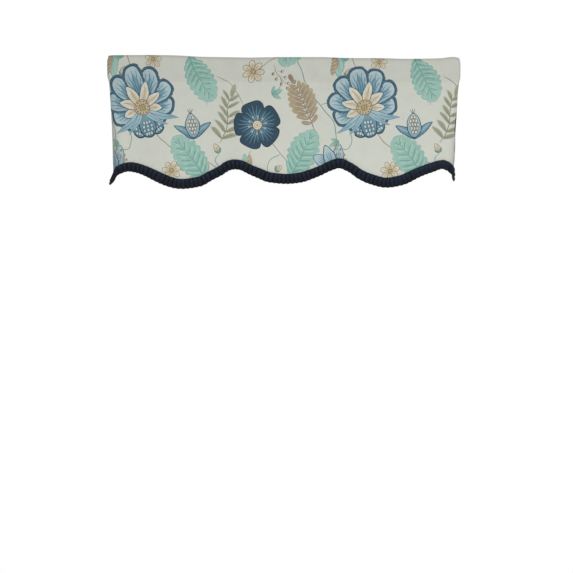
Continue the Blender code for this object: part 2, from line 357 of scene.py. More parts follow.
def peony(pen):
    for turn, length in ((128, 84), (-128, 84), (97, 104), (-97, 104), (64, 120), (-64, 120),
                         (31, 128), (-31, 128), (0, 134)):
        petal = pen.moved(0, 0, turn)
        petal.fill(blade(length, 68, 0.95, 0.42, 9, 0.10), "blue", "navy", (0, 0), (0, length * 1.6))
        petal.fill(blade(length, 68, 0.95, 0.42, shrink=7.0), "navyDeep")
        petal.fill(blade(length, 68, 0.95, 0.42, shrink=8.6), "blueSoft", "bluePale",
                   (0, 20), (0, length))
        petal.fill(blade(length * 0.78, 26, 1.1, 0.9, bend=3), "blue", "blueSoft",
                   (0, 10), (0, length * 0.8))
        for lean, reach in ((-15, 0.72), (-8, 0.82), (0, 0.88), (8, 0.82), (15, 0.72)):
            streak = petal.moved(0, 0, lean * 0.9)
            streak.line(((0, length * 0.3), (lean * 0.12, length * 0.55), (0, length * reach)),
                        2.0, "navy", "blue")
    for turn, length in ((104, 66), (-104, 66), (64, 74), (-64, 74), (24, 82), (-24, 82)):
        petal = pen.moved(0, 2, turn)
        petal.edged((length, 31, 0.8, 0.75), "navy", 2.2, "cream", "ground", 10, length)
        petal.fill(blade(length * 0.8, 15, 0.9, 0.9, bend=2), "tan", "cream", (0, 10), (0, length))
        petal.line(((0, 18), (1.5, length * 0.5), (0, length * 0.82)), 1.8, "ochre", "taupe")
    cup = pen.moved(0, -6)
    for turn in (156, -156, 180):
        petal = cup.moved(0, 0, turn)
        petal.fill(blade(90, 56, 0.7, 0.5, 7, 0.12), "navy")
        petal.fill(blade(90, 56, 0.7, 0.5, shrink=4), "blueSoft", "blue", (0, 0), (0, 88))
        for row, half in ((34, 9), (46, 12), (58, 12), (70, 8)):
            for side in (-1, 0, 1):
                scale = petal.moved(side * half, row)
                scale.edged((13, 10, 0.6, 0.6), "navyDeep", 1.4, "bluePale")
    for turn, size in ((132, 1), (-132, 1), (150, 0.8), (-150, 0.8)):
        curl = pen.moved(0, -4, turn, size)
        bend = 30 if turn > 0 else -30
        curl.edged((112, 22, 0.8, 0.9), "blue", 1.8, "bluePale", "blueSoft", 0, 110, bend)
        curl.line(((0, 14), (bend * 0.2, 52), (bend * 0.78, 98)), 1.6, "blue")
    pen.dot(0, 0, 25, "brown", 26)
    pen.dot(0, 0, 22.8, "tan", 24)
    for i in range(12):
        pen.dot(18.5 * math.cos(i * math.pi / 6), 18.5 * math.sin(i * math.pi / 6), 2.2, "navy", 6)
    pen.dot(0, 0, 13.5, "ochre", 18)
    for i in range(3):
        for j in range(3):
            pen.dot((i - 1) * 7, (j - 1) * 7, 2.2, "brown", 6)


# A seed pod with rows of scales, held in two blue sepals
def pod(pen):
    for turn in (38, -38):
        sepal = pen.moved(0, -4, turn)
        sepal.fill(blade(78, 27, 0.7, 0.8, 7, 0.12, bend=-turn * 0.5), "navy")
        sepal.fill(blade(78, 27, 0.7, 0.8, bend=-turn * 0.5, shrink=3.4), "blue", "blueSoft",
                   (0, 0), (0, 74))
        sepal.line(((0, 10), (-turn * 0.08, 34), (-turn * 0.36, 66)), 1.7, "bluePale")
    pen.edged((82, 50, 0.62, 0.72), "navyDeep", 2.4, "blueSoft", "bluePale", 0, 80)
    for row, count in ((12, 2), (24, 3), (36, 4), (48, 3), (60, 2)):
        for k in range(count):
            scale = pen.moved((k - (count - 1) / 2) * 9.4, row)
            scale.edged((13, 10, 0.6, 0.6), "navy", 1.5, "cream")
    for k in (-1, 0, 1):
        pen.moved(0, 76, k * 26).line(((0, 0), (0, 20)), 2.2, "navy", "blue")


def berries(pen):
    pen.line(((0, -30), (4, 0), (0, 34), (-6, 60)), 1.9, "taupe")
    for k, (x, y) in enumerate(((16, 2), (-15, 12), (17, 24), (-16, 36), (10, 48), (-14, 58), (-3, 72))):
        pen.line(((0, y - 12), (x * 0.5, y - 6), (x, y)), 1.4, "taupe")
        pen.dot(x, y, 5.6, "brown", 11)
        pen.dot(x - 0.8, y + 0.8, 3.8, "cream" if k % 2 else "tan", 9)
        pen.dot(x + 1, y - 1, 1.5, "brown", 6)


# A long leaf rolled over on itself, teal outside and brown where it turns
def curledLeaf(pen):
    pen.line(((0, -34), (2, 0), (4, 30)), 2.2, "tealDeep")
    pen.fill(blade(112, 40, 0.75, 0.7, 9, 0.14, bend=24), "tealDeep")
    pen.fill(blade(112, 40, 0.75, 0.7, bend=24, shrink=3), "teal", "tealPale", (0, 0), (0, 108))
    turned = pen.moved(3, 8, -13)
    turned.fill(blade(98, 27, 0.9, 0.6, 8, 0.16, bend=20), "taupe", "tan", (0, 0), (0, 150))
    for k in range(6):
        turned.line(((2, 16 + 12 * k), (9, 22 + 12 * k), (14 + k, 24 + 12 * k)), 1.5, "cream")
    pen.line(((0, 0), (4, 46), (22, 104)), 2.2, "tealDeep", "teal")


def wildRose(pen):
    for k in range(5):
        petal = pen.moved(0, 0, 72 * k)
        petal.edged((72, 68, 0.95, 0.34), "navyDeep", 2.2, "blue", "navy", 8, 46)
        for lean, reach in ((-26, 52), (-13, 58), (0, 60), (13, 58), (26, 52)):
            streak = petal.moved(0, 0, lean)
            streak.line(((0, 18), (lean * 0.04, reach * 0.6), (0, reach)), 1.8, "blueSoft", "blue")
    for k in range(10):
        stamen = pen.moved(0, 0, 36 * k + 18)
        stamen.line(((0, 8), (0, 25)), 1.5, "tan")
        stamen.dot(0, 26, 2.6, "tan", 7)
    pen.dot(0, 0, 15, "brown", 20)
    pen.dot(0, 0, 13, "cream", 20)
    for k in range(8):
        pen.dot(8 * math.cos(k * math.pi / 4), 8 * math.sin(k * math.pi / 4), 1.8, "taupe", 7)
    pen.dot(0, 0, 4, "ochre", 10)


def tulip(pen):
    for turn, edge in ((34, "blue"), (-34, "blue"), (0, "navy")):
        petal = pen.moved(0, 0, turn)
        petal.edged((86, 42, 0.6, 0.7), edge, 3.2, "blueSoft", "bluePale", 0, 80)
        for lean in (-7, 0, 7):
            petal.moved(0, 0, lean).line(((0, 12), (0, 62)), 1.9, "blue")
    for turn in (60, -60):
        sepal = pen.moved(0, 2, turn)
        sepal.fill(blade(40, 15, 0.7, 0.9, bend=-turn * 0.12), "tealDeep", "tealPale", (0, 0), (0, 36))


def broadLeaf(pen, length=180, width=104, lobes=8):
    pen.fill(blade(length, width, 0.72, 0.62, lobes, 0.20), "tealDeep", "teal",
             (0, 0), (0, length * 0.5))
    pen.fill(blade(length, width, 0.72, 0.62, lobes, 0.20, shrink=1.9), "teal", "tealPale",
             (0, 0), (0, length * 1.5))
    for side in (-1, 1):
        for k in range(lobes - 1):
            low = length * (0.08 + 0.80 * k / (lobes - 1))
            high = low + length * 0.13
            reach = width / 2 * 0.80 * math.sin(math.pi * min(0.94, (high / length) ** 0.86))
            pen.line(((0, low), (side * reach * 0.55, low + (high - low) * 0.45), (side * reach, high)),
                     3.4, "tealPale")
            pen.line(((side * 2, low + 7), (side * reach * 0.5, low + 7 + (high - low) * 0.5),
                      (side * reach * 0.84, high + 5)), 2.2, "tealDeep")
    pen.line(((0, -12), (1.5, length * 0.4), (0, length * 0.94)), 3.4, "tealDeep", "teal")


def fern(pen, length=190, pairs=9):
    pen.line(((0, -26), (3, length * 0.4), (-2, length * 0.9)), 2.8, "brown", "taupe")
    for k in range(pairs):
        part = k / (pairs - 1)
        size = math.sin(math.pi * (0.20 + 0.72 * part))
        for side in (-1, 1):
            leaflet = pen.moved(3 * math.sin(math.pi * part), length * (0.05 + 0.80 * part),
                                side * (-62 + 22 * part))
            leaflet.fill(blade(62 * size, 20 * size + 3, 0.55, 0.42), "taupe", "tan", (0, 0), (0, 90))
            leaflet.line(((0, 4), (0, 50 * size)), 1.6, "cream", "tan")
    pen.moved(-2, length * 0.88).fill(blade(34, 17, 0.6, 0.5), "taupe")


def willow(pen, pairs=6):
    stem = ((0, -80), (9, -36), (5, 8), (-6, 52), (-2, 84))
    pen.line(stem, 2.6, "oliveDeep")
    path = smoothPath(stem, 4)
    for k in range(pairs):
        x, y = path[int((0.10 + 0.80 * k / (pairs - 1)) * (len(path) - 1))]
        for side in (-1, 1):
            leaf = pen.moved(x, y, side * -(50 - 3 * k), 1 - 0.05 * k)
            leaf.fill(blade(58, 17, 0.75, 0.75, 6, 0.16, bend=side * 9), "olive", "olivePale",
                      (0, 0), (0, 90))
            leaf.line(((0, 3), (side * 2, 26), (side * 7, 50)), 1.7, "oliveDeep")
    pen.moved(-2, 80).fill(blade(48, 17, 0.7, 0.7, 5, 0.14), "olive", "olivePale", (0, 0), (0, 60))


def daisy(pen):
    for k in range(7):
        petal = pen.moved(0, 0, k * 360 / 7)
        petal.edged((36, 19, 0.8, 0.45), "brown", 1.6, "tan", "cream", 6, 30)
        petal.line(((0, 10), (0, 27)), 1.5, "taupe")
    pen.dot(0, 0, 8.5, "brown", 14)
    pen.dot(0, 0, 6.6, "ochre", 12)


def bud(pen):
    pen.edged((34, 23, 0.5, 0.8), "brown", 1.8, "ochre", "cream", 0, 30)
    pen.line(((0, 6), (0, 26)), 1.8, "taupe")
    for side in (-1, 1):
        pen.moved(0, -1, side * 48).fill(blade(20, 8, 0.6, 0.8), "tealDeep")


def sprig(pen):
    for turn, size in ((0, 1), (46, 0.8), (-46, 0.8)):
        leaf = pen.moved(0, 0, turn, size)
        leaf.fill(blade(44, 17, 0.7, 0.8), "tealDeep", "tealPale", (0, 0), (0, 50))
        leaf.line(((0, 4), (0, 34)), 1.5, "tealPale")


# One repeat of the print, in millimetres: along is measured from the repeat's left side, up
# from the top fold, and the stems run between the motifs
printLayout = {
    "repeat": 700,
    "firstRepeat": -445,
    "stems": (
        ("brown", 2.4, ((20, -210), (64, -262), (120, -300), (196, -322), (262, -370), (300, -430))),
        ("brown", 2.2, ((-30, 90), (-46, 20), (-26, -40), (2, -86))),
        ("brown", 2.2, ((392, -244), (436, -300), (470, -352), (478, -430))),
        ("brown", 2.0, ((352, -60), (396, -16), (450, 14), (520, 84))),
        ("teal", 2.6, ((118, 80), (152, 26), (178, -30), (196, -96), (206, -150))),
        ("teal", 2.6, ((470, 20), (500, -40), (520, -92), (560, -150), (600, -200), (612, -262),
                       (596, -330))),
        ("teal", 2.4, ((340, -290), (322, -330), (286, -352), (244, -344), (226, -318), (240, -298))),
        ("teal", 2.2, ((598, -196), (640, -214), (662, -250), (650, -284), (622, -280), (620, -262))),
        ("brown", 2.0, ((236, -60), (272, -78), (300, -112), (318, -150))),
        ("brown", 1.9, ((-120, -330), (-80, -350), (-40, -344), (-8, -372), (10, -430))),
        ("brown", 2.0, ((120, -300), (142, -288), (158, -268), (160, -250))),
        ("teal", 2.0, ((406, -118), (426, -104), (438, -84), (434, -58))),
        ("brown", 1.9, ((560, -150), (588, -140), (612, -112), (616, -84))),
        ("teal", 2.0, ((436, -300), (404, -318), (392, -344), (404, -362), (420, -352))),
        ("brown", 1.9, ((196, -322), (176, -352), (146, -372), (120, -430))),
    ),
    "motifs": table("draw along up turn size",
                    (broadLeaf, 150, -2, 208, 0.86), (broadLeaf, 200, -380, 38, 0.94),
                    (broadLeaf, 466, -372, -28, 0.92), (broadLeaf, 508, 96, 152, 0.8),
                    (fern, 536, -212, 24, 0.86), (willow, 262, -196, -16, 0.92),
                    (daisy, 352, -46, 10, 1.0), (daisy, 86, -352, 30, 0.86),
                    (tulip, 606, -352, 20, 0.96), (bud, 320, -158, -150, 0.9),
                    (bud, 240, -296, 28, 0.9), (bud, 642, -62, -20, 0.9), (sprig, 408, -118, -64, 0.9),
                    (sprig, 300, -372, 12, 0.9), (sprig, 620, -262, 120, 0.8), (sprig, -60, -10, 30, 0.8),
                    (pod, 160, -250, 6, 0.94), (berries, 426, -44, -152, 0.86),
                    (curledLeaf, 604, 38, 200, 0.9), (curledLeaf, 338, -384, 24, 0.74),
                    (daisy, 40, -14, 20, 0.74),
                    (berries, -70, -322, 18, 0.72), (bud, 418, -350, -60, 0.8),
                    (wildRose, 362, -212, 14, 1.04), (peony, 0, -158, 14, 1.0)),
}


def drawPrint(lowest, highest):
    half = halfFlat / mm
    for k in (-1, 0, 1):
        corner = (printLayout["firstRepeat"] + k * printLayout["repeat"], 0)
        sheet = Pen(corner)
        for colour, width, points in printLayout["stems"]:
            sheet.line(points, width, "taupe" if colour == "brown" else "tealDeep")
        for row in printLayout["motifs"]:
            row["draw"](sheet.moved(row["along"], row["up"], row["turn"], row["size"]))
    artwork[:] = [shape for shape in artwork
                  if shape[0][:, 0].max() > -half and shape[0][:, 0].min() < half
                  and shape[0][:, 1].max() > lowest and shape[0][:, 1].min() < highest]


# Where the flat cloth is cut besides the print's outlines, in millimetres: along it close
# together at the corners, and up it at the fold, the seam and the hem
cutting = {
    "frontColumns": np.arange(-486, 487, 12), "cornerColumns": np.arange(492, 562, 3.5),
    "returnFrom": 566, "returnColumns": 10, "sideHem": (24, 25.5), "scoredTo": 564,
    "foldRows": 7, "nearFold": 0.6, "besideFold": 4, "rimGap": 0.01,
    "rows": (-10, -18, -30, -42, -52, -60, -66, -70, -73, -75, -77, -79.5, -83, -88, -96,
             12, 24, 38, 52, 62, 70, 76),
    "seamRows": (-70, -73.5, -76, -79, -83), "seamColumns": np.arange(-480, 481, 6.0),
    "lowRows": -108, "rowStep": 12, "hemRows": (18, 24, 31, 40), "hemColumns": np.arange(-630, 631, 5.0),
}


def hemUp(columns):
    return -(hemDrop(columns * mm) + cloth["underBand"]) / mm


def across(columns, up):
    return np.stack(np.broadcast_arrays(columns, np.asarray(up, float)), 1)


# The flat cloth, cut along the print's outlines and closely enough for its folds
def cutCloth():
    half = halfFlat / mm
    turned = cloth["turnedDepth"] / mm
    outer = np.concatenate([cutting["cornerColumns"],
                            np.linspace(cutting["returnFrom"], half, cutting["returnColumns"]),
                            half - np.array(cutting["sideHem"])])
    alongRow = np.unique(np.concatenate([cutting["frontColumns"], outer, -outer]))
    hem = hemUp(alongRow)
    border = np.concatenate([across(alongRow, hem), [[half, turned], [-half, turned]]])
    drawPrint(hem.min(), turned)
    points, outlines = [border], [list(range(len(border)))]
    count = len(border)
    for outline, *_ in artwork:
        outlines.append(list(range(count, count + len(outline))))
        points.append(outline)
        count += len(outline)
    fold = (cloth["thickness"] + cloth["layerGap"] / 2) / mm * math.pi / 2
    scores = []
    near, beside = fold + cutting["nearFold"], cutting["besideFold"]
    for up in [*fold * np.linspace(-1, 1, cutting["foldRows"]), near, -near, -beside, beside]:
        scores += [(count + i, count + i + 1) for i in range(len(alongRow) - 1)]
        points.append(across(alongRow, up))
        count += len(alongRow)
    for at in alongRow[np.abs(alongRow) > cutting["cornerColumns"][0] - 2][1:-1]:
        if abs(at) < cutting["scoredTo"]:
            scores.append((count, count + 1))
            points.append([[at, turned - cutting["rimGap"]],
                           [at, cutting["rimGap"] + hemUp(np.array([at]))[0]]])
            count += 2
    for up in cutting["rows"]:
        points.append(across(alongRow, up))
    for up in cutting["seamRows"]:
        points.append(across(cutting["seamColumns"], up))
    for up in np.arange(cutting["lowRows"], hem.min(), -cutting["rowStep"]):
        inside = up > hem + 4
        points.append(across(alongRow[inside], up))
    for lift in cutting["hemRows"]:
        points.append(across(cutting["hemColumns"], hemUp(cutting["hemColumns"]) + lift))
    flat = [Vector(point) for point in np.concatenate(points)]
    places, _, faces, _, _, owners = delaunay_2d_cdt(flat, scores, outlines, 0, 1e-3, True)
    return places, [(face, max(owner)) for face, owner in zip(faces, owners) if 0 in owner]


def inkAt(shape, places):
    _, near, far, start, end = artwork[shape - 1]
    run = end - start
    t = np.clip(((places - start) @ run) / max(run @ run, 1e-6), 0, 1)[:, None]
    return np.array(near) * (1 - t) + np.array(far) * t


def meshFrom(bm, name):
    mesh = bpy.data.meshes.new(name)
    bm.to_mesh(mesh)
    bm.free()
    return mesh


def placed(name, data):
    thing = bpy.data.objects.new(name, data)
    bpy.context.scene.collection.objects.link(thing)
    return thing


def vectorsOf(items, name):
    values = np.zeros(len(items) * 3)
    items.foreach_get(name, values)
    return values.reshape(-1, 3)


def makePanel():
    places, faces = cutCloth()
    print("cloth cut:", len(artwork), "outlines,", len(faces), "triangles")
    bm = bmesh.new()
    shapeLayer = bm.faces.layers.int.new("shape")
    verts = [bm.verts.new((place[0], place[1], 0)) for place in places]
    for face, shape in faces:
        bm.faces.new([verts[i] for i in face])[shapeLayer] = shape
    bmesh.ops.delete(bm, geom=[vert for vert in bm.verts if not vert.link_faces], context="VERTS")
    bm.normal_update()
    bmesh.ops.solidify(bm, geom=bm.faces[:], thickness=1)
    mesh = meshFrom(bm, "clothPanel")
    flat = vectorsOf(mesh.vertices, "co")
    flatOut = vectorsOf(mesh.polygons, "normal")
    along, up, behind = flat[:, 0] * mm, flat[:, 1] * mm, flat[:, 2] < -0.5
    mesh.vertices.foreach_set("co", hang(along, up, behind).ravel())
    reach = 0.0008
    across = hang(along + reach, up, behind) - hang(along - reach, up, behind)
    upward = hang(along, up + reach, behind) - hang(along, up - reach, behind)
    out = np.cross(across, upward) * np.where(behind, -1, 1)[:, None]
    out /= np.linalg.norm(out, axis=1, keepdims=True)
    mesh.update()

    corner = np.zeros(len(mesh.loops), int)
    mesh.loops.foreach_get("vertex_index", corner)
    size = np.zeros(len(mesh.polygons), int)
    mesh.polygons.foreach_get("loop_total", size)
    shape = np.zeros(len(mesh.polygons), int)
    mesh.attributes["shape"].data.foreach_get("value", shape)
    shapeOf = np.repeat(shape, size)
    rim = np.repeat(size == 4, size)
    colours = np.tile(np.array(inks["ground"]), (len(corner), 1))
    for k in np.unique(shapeOf[shapeOf > 0]):
        here = shapeOf == k
        colours[here] = inkAt(k, flat[corner[here], :2])
    wrongSide = behind[corner][:, None] * cloth["wrongSideFade"]
    colours = colours * (1 - wrongSide) + np.array(inks["ground"]) * wrongSide
    colours[rim] = inks["ground"]
    printed = ((shapeOf > 0) & ~behind[corner] & ~rim).astype(float)
    layer = mesh.color_attributes.new("printInk", "FLOAT_COLOR", "CORNER")
    layer.data.foreach_set("color", np.concatenate([colours, printed[:, None]], 1).ravel())

    # One map: the printed face above, the wrong side below, the rim round the first
    rimStep = flatOut.repeat(size, 0)[:, :2] * (rim & behind[corner])[:, None] * 1.5 * mm
    u = 0.5 + (along[corner] + rimStep[:, 0]) / cloth["mapWidth"]
    v = (cloth["turnedDepth"] + cloth["mapMargin"] - up[corner] - rimStep[:, 1]) / cloth["mapHeight"]
    below = behind[corner] & ~rim
    cut = mesh.uv_layers.new(name="OFBake")
    cut.uv.foreach_set("vector", np.stack([u, 1 - 0.5 * (v + below)], 1).ravel())
    mesh.shade_smooth()
    faceOut = vectorsOf(mesh.polygons, "normal").repeat(size, 0)
    normals = np.where(rim[:, None], faceOut, out[corner])
    mesh.normals_split_custom_set([tuple(normal) for normal in normals])
    mesh.attributes.remove(mesh.attributes["shape"])
    piece = placed("clothPanel", mesh)
    mesh.materials.append(printedCotton())
    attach(piece, "root")
    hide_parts("panel")
    return piece


# The band along the hem: a closed section, from the top edge round the back, with two rows of
# puffs in front; edge and face say how far a groove between ribs draws each point in, crease how much
# painted shade the centre crease gets
band = {
    "gap": 0.0007, "ribs": 95, "ringsPerRib": 12, "ribDepth": 0.0028, "edgeDepth": 0.0018,
    "slant": 0.0016, "halfHeight": 0.016, "cornerNarrowing": 0.10, "endNarrowing": 0.30,
    "narrowingFrom": 0.572, "wander": 0.0009, "creaseDepth": 0.0021,
    "grooveShape": 0.55, "shadowShape": 1.1,    # less than 1 makes narrow grooves, more wide ones
    "softer": 0.62, "softerFrom": 0.250, "softerTo": 0.480,    # the ribs fade to the right
    # painted shade: darker towards the band's lower half and along its crease
    "underShade": 0.60, "creaseShade": 0.16,
    "section": table("down out edge face crease",
                     (-13.8, 0.3, .2, 0, 0), (-9, 0, 0, 0, 0), (-3, 0, 0, 0, 0), (3, 0, 0, 0, 0),
                     (9, 0, 0, 0, 0), (13.8, 0.3, .2, 0, 0), (15.4, 1.2, .8, .1, 0), (16.0, 2.6, 1, .3, 0),
                     (15.4, 4.4, 1, .8, 0), (13.6, 5.7, .9, 1, 0), (11.2, 6.6, .4, 1, 0),
                     (8.6, 7.0, 0, 1, 0), (5.8, 6.8, 0, 1, 0), (3.1, 6.1, 0, .9, .1), (1.3, 5.0, 0, .6, .7),
                     (0.2, 4.6, 0, .4, 1), (-0.9, 5.0, 0, .6, .7), (-2.7, 6.1, 0, .9, .1),
                     (-5.2, 6.8, 0, 1, 0), (-8.1, 6.9, 0, 1, 0), (-10.9, 6.4, .2, 1, 0),
                     (-13.4, 5.5, .4, 1, 0), (-15.2, 4.2, .4, .7, 0), (-15.9, 2.5, .4, .3, 0),
                     (-15.4, 1.2, .3, .1, 0)),
}


def makeBand():
    width = drape["flatWidth"]
    rings = band["ribs"] * band["ringsPerRib"]
    rib = np.linspace(0, band["ribs"], rings + 1)
    ends = np.minimum(1, np.minimum(rib, band["ribs"] - rib))
    wander = band["wander"] * np.sin(rib * 4.8) * np.sin(rib * 0.62) * ends
    station = -width / 2 + width * rib / band["ribs"] + wander
    inside = (rib > 0.5) & (rib < band["ribs"] - 0.5)
    puff = np.abs(np.sin(math.pi * rib))
    groove = np.where(inside, 1 - puff ** band["grooveShape"], 0)
    shadow = np.where(inside, 1 - puff ** band["shadowShape"], 0)
    lift = 1 - band["softer"] * smoothStep(station, band["softerFrom"], band["softerTo"])
    lift = lift + 0.18 * np.sin(rib * 3.4) + 0.12 * np.sin(rib * 1.3 + 1)
    narrowed = (1 - band["cornerNarrowing"] * smoothStep(np.abs(station), 0.470, 0.510)
                - band["endNarrowing"] * smoothStep(-station, band["narrowingFrom"], width / 2))
    crease = (0.10 * np.sin(rib * math.pi * 4 + 1.1 * np.sin(rib * 1.7))
              + 0.07 * np.sin(rib * math.pi * 6 + 2))
    reach = 0.002
    lean = np.arctan((hemDrop(station + reach) - hemDrop(station - reach)) / (2 * reach))
    loops, shades = [], []
    for k, row in enumerate(band["section"]):
        drawn = groove * row["edge"] * band["edgeDepth"]
        down = row["down"] * mm * narrowed - math.copysign(1, row["down"]) * drawn
        creased = crease * (0.6 + 0.4 * np.sin(k * 1.9 + rib * 0.9)) * band["creaseDepth"] * row["face"]
        out = row["out"] * mm - band["ribDepth"] * row["face"] * groove * lift + creased
        slant = band["slant"] * down / band["halfHeight"] * np.sin(station * 37)
        at = np.clip(station - down * np.sin(lean) + slant, -width / 2, width / 2)
        drop = hemDrop(station) + down * np.cos(lean)
        loops.append(clothFace(at, drop) + clothOut(at, drop) * (band["gap"] + out)[:, None])
        # painted shade, kept in the groove attribute: darker in the grooves between ribs, along the crease
        # and towards the band's underside
        shade = shadow * lift * (0.55 + 0.45 * row["face"]) + row["crease"] * band["creaseShade"]
        shades.append(np.clip(shade + band["underShade"] * smoothStep(row["down"], -10, 13), 0, 1))
    loops = np.stack(loops, 1)

    around = len(band["section"])
    loops = np.concatenate([loops, loops[:, :1]], 1)
    shades = np.stack(shades + shades[:1], 1)
    bm = bmesh.new()
    bmesh.ops.create_grid(bm, x_segments=around, y_segments=rings, size=1)
    paintedShadeLayer = bm.verts.layers.float.new("groove")
    cut = bm.loops.layers.uv.new("OFBake")
    bm.verts.index_update()
    for vert, place, shade in zip(bm.verts, loops.reshape(-1, 3), shades.ravel()):
        vert.co = place
        vert[paintedShadeLayer] = shade
    # The band's map lies in four rows, so that it fills the square
    rowLength = math.ceil(band["ribs"] / 4) * band["ringsPerRib"]
    for face in bm.faces:
        spots = [divmod(loop.vert.index, around + 1) for loop in face.loops]
        strip = min(ringAt for ringAt, _ in spots) // rowLength
        for loop, (ringAt, k) in zip(face.loops, spots):
            loop[cut].uv = ((ringAt - strip * rowLength + 6) / (rowLength + 12),
                            (strip + 0.05 + 0.9 * k / around) / 4)
    bmesh.ops.remove_doubles(bm, verts=bm.verts[:], dist=1e-7)
    bmesh.ops.holes_fill(bm, edges=[edge for edge in bm.edges if edge.is_boundary], sides=0)
    bmesh.ops.recalc_face_normals(bm, faces=bm.faces[:])
    mesh = meshFrom(bm, "hemBand")
    mesh.shade_smooth()
    piece = placed("hemBand", mesh)
    mesh.materials.append(bandCloth())
    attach(piece, "root")
    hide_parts("trim")
    print("band made:", len(mesh.polygons), "faces")
    return piece


stitching = {"pitch": 0.0036, "length": 0.0027, "thread": 0.00046, "wobble": 0.00025,
             "pocketSeam": 0.076, "pocketFrom": 0.004, "hemSeam": 0.0225, "hemFrom": 0.084,
             "aboveBand": 0.018}


# Rows of small stitches, half sunk in the cloth's two faces
def makeStitches():
    rows = []
    half = halfFlat
    across = np.arange(-half + stitching["pocketFrom"], half - 0.003, stitching["pitch"])
    rows.append((across, np.full_like(across, -stitching["pocketSeam"]), (1, 0)))
    for side in (-1, 1):
        at = side * (half - stitching["hemSeam"])
        lowest = hemDrop(np.array([at]))[0] - stitching["aboveBand"]
        down = np.arange(stitching["hemFrom"], lowest, stitching["pitch"])
        rows.append((np.full_like(down, at), -down, (0, 1)))
    bm = bmesh.new()
    bmesh.ops.create_uvsphere(bm, u_segments=6, v_segments=4, radius=1)
    capsule = np.array([vert.co[:] for vert in bm.verts])
    places = []
    for along, up, (right, rise) in rows:
        wobble = stitching["wobble"] * np.sin(np.arange(len(along)) * 2.1)
        along, up = along + wobble * rise, up + wobble * right
        step, thick = stitching["length"] / 2, stitching["thread"] / 2
        for onBack in (False, True):
            onTurned = onBack and right
            heights = -up if onTurned else up
            wrongSide = np.full(len(along), onBack and not onTurned)
            middle = hang(along, heights, wrongSide)
            run = hang(along + right * step, heights + rise * step, wrongSide) - middle
            run /= np.linalg.norm(run, axis=1, keepdims=True)
            out = clothOut(along, np.abs(up)) * (-1 if onBack else 1)
            sideways = np.cross(out, run)
            axes = np.stack([run * step, sideways * thick, out * thick * 1.1], 1)
            places.append(np.einsum("vk,skj->svj", capsule, axes) + middle[:, None])
    places = np.concatenate(places)
    verts = bm.verts[:]
    while len(verts) < len(capsule) * len(places):
        more = verts[:len(capsule) * len(places) - len(verts)]
        geometry = dict.fromkeys(item for vert in more for item in (*vert.link_edges, *vert.link_faces))
        copyOf = bmesh.ops.duplicate(bm, geom=more + list(geometry))["vert_map"]
        verts += [copyOf[vert] for vert in more]
    for vert, place in zip(verts, places.reshape(-1, 3)):
        vert.co = place
    mesh = meshFrom(bm, "stitches")
    mesh.shade_smooth()
    piece = placed("stitches", mesh)
    mesh.materials.append(stitchThread())
    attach(piece, "root")
    print("stitches made:", len(mesh.polygons), "faces")
    return piece


# Shader maths as plain Python: a Wire is one socket of a material's node tree
class Wire:
    def __init__(self, shader, socket):
        self.shader, self.socket = shader, socket

    def math(self, operation, *others):
        return self.shader.node("ShaderNodeMath", {"operation": operation}, [self, *others])

    def __add__(self, other):
        return self.math("ADD", other)

    def __sub__(self, other):
        return self.math("SUBTRACT", other)

    def __rsub__(self, other):
        return (self * -1) + other

    def __mul__(self, other):
        return self.math("MULTIPLY", other)

    __radd__, __rmul__ = __add__, __mul__


class Shader:
    def __init__(self, name):
        self.material = bpy.data.materials.new(name)
        self.material.use_nodes = True
        self.tree = self.material.node_tree
        self.surface = self.tree.nodes["Principled BSDF"]

    # A node of any type: its settings first, then its sockets by name or in order
    def node(self, kind, settings=None, sockets=(), output=0):
        made = self.tree.nodes.new(kind)
        for name, value in (settings or {}).items():
            if name == "stops":
                self.setStops(made.color_ramp.elements, value)
            else:
                setattr(made, name, value)
        pairs = sockets.items() if isinstance(sockets, dict) else enumerate(sockets)
        for name, value in pairs:
            self.join(value, made.inputs[name])
        return Wire(self, made.outputs[output])

    def setStops(self, elements, stops):
        for k, (position, level) in enumerate(stops):
            stop = elements[k] if k < 2 else elements.new(position)
            stop.position, stop.color = position, (level, level, level, 1)

    def join(self, value, socket):
        if isinstance(value, Wire):
            self.tree.links.new(value.socket, socket)
        else:
            socket.default_value = value

    def mix(self, factor, first, second, how="MIX"):
        return self.node("ShaderNodeMix", {"data_type": "RGBA", "blend_type": how},
                         {0: factor, 6: first, 7: second}, 2)

    # Noise over a place that is first stretched, in one direction for threads
    def noise(self, place, scale, detail, stretch=(1, 1, 1)):
        spread = self.node("ShaderNodeVectorMath", {"operation": "MULTIPLY"}, [place, stretch])
        return self.node("ShaderNodeTexNoise", {}, {"Vector": spread, "Scale": scale, "Detail": detail})

    def finish(self, **sockets):
        for name, value in sockets.items():
            self.join(value, self.surface.inputs[name.replace("_", " ")])
        return self.material


# Painted light and shade down the cotton's drop: lighter towards the hem as if light came through
# the single cloth, painted shade on the doubled pocket where less light comes through, and painted shade
# along the seam and the top fold
paintedCottonLight = ((-0.395, 1.0), (-0.280, 0.98), (-0.086, 0.920), (-0.0785, 0.910), (-0.0765, 0.850),
              (-0.0735, 0.862), (-0.0105, 0.862), (-0.0065, 0.79), (-0.0030, 0.69), (0.0025, 0.69),
              (0.0060, 0.862), (0.0795, 0.862))


cottonLook = {"thread": 0.00062, "slub": 0.10, "cloud": 0.10, "weave": 0.018, "wash": 0.42,
              "fineWash": 0.16, "worn": 0.20}


